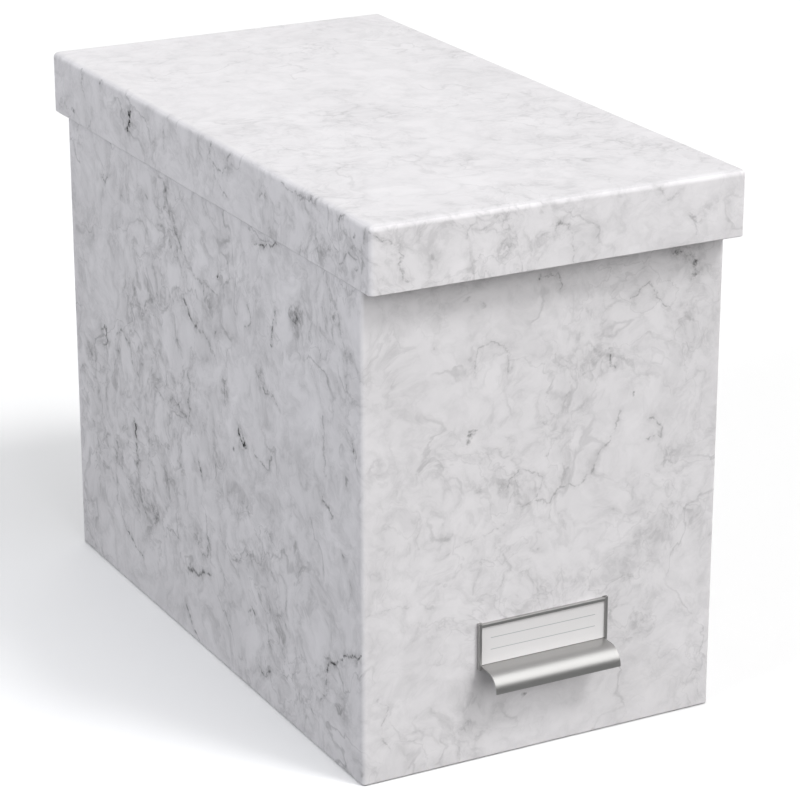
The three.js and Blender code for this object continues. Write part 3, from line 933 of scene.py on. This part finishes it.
def rivet_body(name, cad_node, material):
    """A flush rivet: countersunk head in the plate, shank, and a domed formed head inside."""
    low, high = [[v / MM for v in corner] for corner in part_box(cad_node)]
    centre_x = (low[0] + high[0]) / 2
    centre_z = (low[2] + high[2]) / 2
    front = low[1]
    shank_from = front + HOLDER_METAL
    formed = high[1] - FORMED_RISE
    dome = FORMED_RISE - FORMED_SIDE
    profile = [(0.0, front), (RIVET_HEAD - 0.1, front), (RIVET_HEAD, front + 0.05),
               (RIVET_SHANK, shank_from), (RIVET_SHANK, formed), (RIVET_FORMED, formed)]
    for i in range(7):
        angle = math.radians(90 * i / 6)
        y = formed + FORMED_SIDE + dome * math.sin(angle)
        profile.append((RIVET_FORMED * math.cos(angle), y))
    mesh_bm = bmesh.new()
    rows = []
    for radius, y in profile:
        row = []
        for k in range(RIVET_SIDES):
            angle = 2 * math.pi * k / RIVET_SIDES
            point = (centre_x + radius * math.cos(angle), y, centre_z + radius * math.sin(angle))
            row.append(mesh_bm.verts.new(Vector(point) * MM))
        rows.append(row)
    for j in range(len(rows) - 1):
        for k in range(RIVET_SIDES):
            n = (k + 1) % RIVET_SIDES
            mesh_bm.faces.new((rows[j][k], rows[j][n], rows[j + 1][n], rows[j + 1][k]))
    bmesh.ops.remove_doubles(mesh_bm, verts=mesh_bm.verts, dist=1e-6)
    return finish_mesh(name, mesh_bm, [material], 30.0)


# Stage, in metres. A level of 1 lights a white surface to white.

SKY_LIGHT = 0.49
FLOOR_BOUNCE = 0.06
FLOOR_RADIUS = 6.0
SUNS = [
    # name, from, level, width in degrees, shows in metal, lights the paper
    ("front_fill", (0.30, -0.90, 0.30), 0.36, 60.0, False, True),
    ("key", (0.38, -0.70, 0.62), 0.14, 70.0, True, True),
    ("metal_key", (0.36, -0.60, 0.80), 0.20, 70.0, True, False),
    ("crisp_key", (0.32, -0.50, 0.80), 0.30, 13.0, False, True),
    ("back_fill", (0.45, 0.85, 0.30), 0.20, 60.0, False, True),
]
SIDE_LIGHT = 0.415
SIDE_AT = (-1.60, -0.35, 0.92)
SIDE_AIM = (-0.09, 0.0, 0.16)
SIDE_SIZE = 0.7
SIDE_TINT = (0.90, 0.93, 1.0)
FLAG_ENDS = (-2.0, 3.0)
FLAG_PROFILE = ((-0.19, 0.0005), (-2.5, 0.0005), (-2.6, 1.2))
FLAG_TONE = 0.27


def make_camera():
    """The camera, first of all, at the photograph's place."""
    data = bpy.data.cameras.new("camera")
    data.lens = FOCAL_PIXELS / PHOTO_PIXELS * SENSOR_MM
    data.sensor_width = SENSOR_MM
    data.clip_start = 0.05
    data.clip_end = 50.0
    camera = bpy.data.objects.new("camera", data)
    SCENE.collection.objects.link(camera)
    camera.location = CAMERA_AT
    camera.rotation_euler = CAMERA_FORWARD.to_track_quat("-Z", "Y").to_euler()
    SCENE.camera = camera


def seen_directly(tree):
    """1 for camera, glossy and transmission rays, 0 for the light that falls on the object."""
    path = tree.nodes.new("ShaderNodeLightPath")
    seen = calc(tree, "MAXIMUM", path.outputs["Is Camera Ray"], path.outputs["Is Glossy Ray"])
    return calc(tree, "MAXIMUM", seen, path.outputs["Is Transmission Ray"])


def make_world():
    """White where it is seen, and a plain soft level as light."""
    world = bpy.data.worlds.new("studio")
    SCENE.world = world
    world.use_nodes = True
    tree = world.node_tree
    background = tree.nodes["Background"]
    strength = ramp(tree, seen_directly(tree), 0.0, 1.0, SKY_LIGHT, 1.0, smooth=False)
    background.inputs["Color"].default_value = (*WHITE, 1.0)
    tree.links.new(strength, background.inputs["Strength"])


def make_floor():
    """A plain pale floor: white where it is seen, greyer as a source of bounced light."""
    material, tree, shader, _ = new_material("floor_white")
    tone = ramp(tree, seen_directly(tree), 0.0, 1.0, FLOOR_BOUNCE, 1.0, smooth=False)
    tree.links.new(grey_mix(tree, tone, BLACK, WHITE), shader.inputs["Base Color"])
    shader.inputs["Roughness"].default_value = 1.0
    shader.inputs["Specular IOR Level"].default_value = 0.0
    mesh_bm = bmesh.new()
    bmesh.ops.create_circle(mesh_bm, cap_ends=True, segments=64, radius=FLOOR_RADIUS)
    floor = finish_mesh("floor", mesh_bm, [material])


def make_sun(name, direction, strength, angle_degrees, in_metal, on_paper):
    """A soft lamp that shines along minus direction, on the paper, in the metal or on both."""
    data = bpy.data.lights.new(name, "SUN")
    data.energy = strength * math.pi
    data.angle = math.radians(angle_degrees)
    lamp = bpy.data.objects.new(name, data)
    SCENE.collection.objects.link(lamp)
    lamp.rotation_euler = Vector(direction).to_track_quat("Z", "Y").to_euler()
    lamp.visible_glossy = in_metal
    lamp.visible_diffuse = on_paper


def make_softbox(name, place, aim, size, strength, colour):
    """A square lamp near the object. Its light falls off downwards. Metal doesn't show it."""
    data = bpy.data.lights.new(name, "AREA")
    data.shape = "SQUARE"
    data.size = size
    away = Vector(place) - Vector(aim)
    data.energy = strength * math.pi ** 2 * away.length_squared
    data.color = colour
    lamp = bpy.data.objects.new(name, data)
    SCENE.collection.objects.link(lamp)
    lamp.location = place
    lamp.rotation_euler = away.to_track_quat("Z", "Y").to_euler()
    lamp.visible_camera = False
    lamp.visible_glossy = False


def make_flag():
    """A dark grey card on the floor before the box, folded up at its far end, which only
    reflections show."""
    material, _, shader, _ = new_material("flag_grey")
    shader.inputs["Base Color"].default_value = (FLAG_TONE, FLAG_TONE, FLAG_TONE, 1.0)
    shader.inputs["Roughness"].default_value = 1.0
    shader.inputs["Specular IOR Level"].default_value = 0.0
    mesh_bm = bmesh.new()
    rows = [[mesh_bm.verts.new((x, y, z)) for x in FLAG_ENDS] for y, z in FLAG_PROFILE]
    for near, far in zip(rows, rows[1:]):
        mesh_bm.faces.new((near[0], near[1], far[1], far[0]))
    flag = finish_mesh("flag", mesh_bm, [material])
    flag.visible_camera = False
    flag.visible_diffuse = False
    flag.visible_transmission = False
    flag.visible_shadow = False


make_camera()
make_world()
make_floor()
make_flag()
for sun in SUNS:
    make_sun(*sun)
make_softbox("side_fill", SIDE_AT, SIDE_AIM, SIDE_SIZE, SIDE_LIGHT, SIDE_TINT)

SCENE.view_settings.view_transform = "Standard"

# Pieces
wrap_plain = marbled_paper("marbled_wrap")
# Painted light and shade: the pattern's contrast is set per face to follow how each face is lit, a
# little weaker on the front, stronger on the shaded left side and the lid's left rim; the paper
# itself is the same on every face
wrap_front = marbled_paper("marbled_front", "front", (FRONT_LINES, FRONT_SPOTS), contrast=0.93)
wrap_left = []
# Painted shade: the left side's strips carry a stronger pattern (contrast 1.5) for the side in shade
for number, (low, high) in enumerate(LEFT_STRIPS, 1):
    strip_marks = marks_between((LEFT_LINES, LEFT_SPOTS), low, high)
    wrap_left.append(marbled_paper(f"marbled_left_{number}", "left", strip_marks, contrast=1.5))
# Painted shade: the lid's top is the same paper as its sides, painted darker (level 0.75) and with a
# flatter pattern (contrast 0.7) so that it shows less bright under the strong light from above
top_paper_painted_darker = marbled_paper("marbled_top_painted_darker", "top", (TOP_LINES, TOP_SPOTS), LID_SHIFT,
                         contrast=0.7, level=0.75)
wrap_rim = marbled_paper("marbled_rim", shift=LID_SHIFT)
# Painted light: the lid's front rim is the same paper, painted lighter (level 0.87 against 0.828) to
# stand in for more light falling on it
front_rim_painted_lighter = marbled_paper("marbled_front_rim_painted_lighter", "front", (RIM_FRONT_LINES, RIM_FRONT_SPOTS),
                          LID_SHIFT, level=0.87)
# Painted shade: the lid's left rim carries a stronger pattern (contrast 1.25) for the side in shade
rim_left = marbled_paper("marbled_rim_left", "left", (RIM_LEFT_LINES, RIM_LEFT_SPOTS),
                         LID_SHIFT, contrast=1.25)
lining = lining_paper("lining")
holder_metal = satin_metal("satin_holder", HOLDER_GREY, 0.37, 0)
rail_steel = satin_metal("zinc_steel", RAIL_GREY, 0.38, 0)
rivet_steel = satin_metal("rivet_steel", RIVET_GREY, 0.35, 1)
card = card_paper("off_white_card")

DRESSED = [
    (body_shell([wrap_plain, wrap_front, lining, *wrap_left]), "box_body", "box", "wrap_paper"),
    (lid_shell([wrap_rim, top_paper_painted_darker, lining, front_rim_painted_lighter, rim_left]), "lid", "lid", "lid_paper"),
    (holder_sheet(holder_metal), "label_holder", "box", "satin_metal"),
    (card_sheet(card), "label_card", "box", "card"),
    (rail_strip("front_rail_strip", "front_rail", rail_steel), "front_rail", "box", "rail_steel"),
    (rail_strip("rear_rail_strip", "rear_rail", rail_steel), "rear_rail", "box", "rail_steel"),
    (rivet_body("left_rivet_body", "rivet_left", rivet_steel), "rivet_left", "box", "rivet_steel"),
    (rivet_body("right_rivet_body", "rivet_right", rivet_steel), "rivet_right", "box",
     "rivet_steel"),
]
for piece, cad_node, body, slot in DRESSED:
    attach(piece, body)
    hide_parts(cad_node)
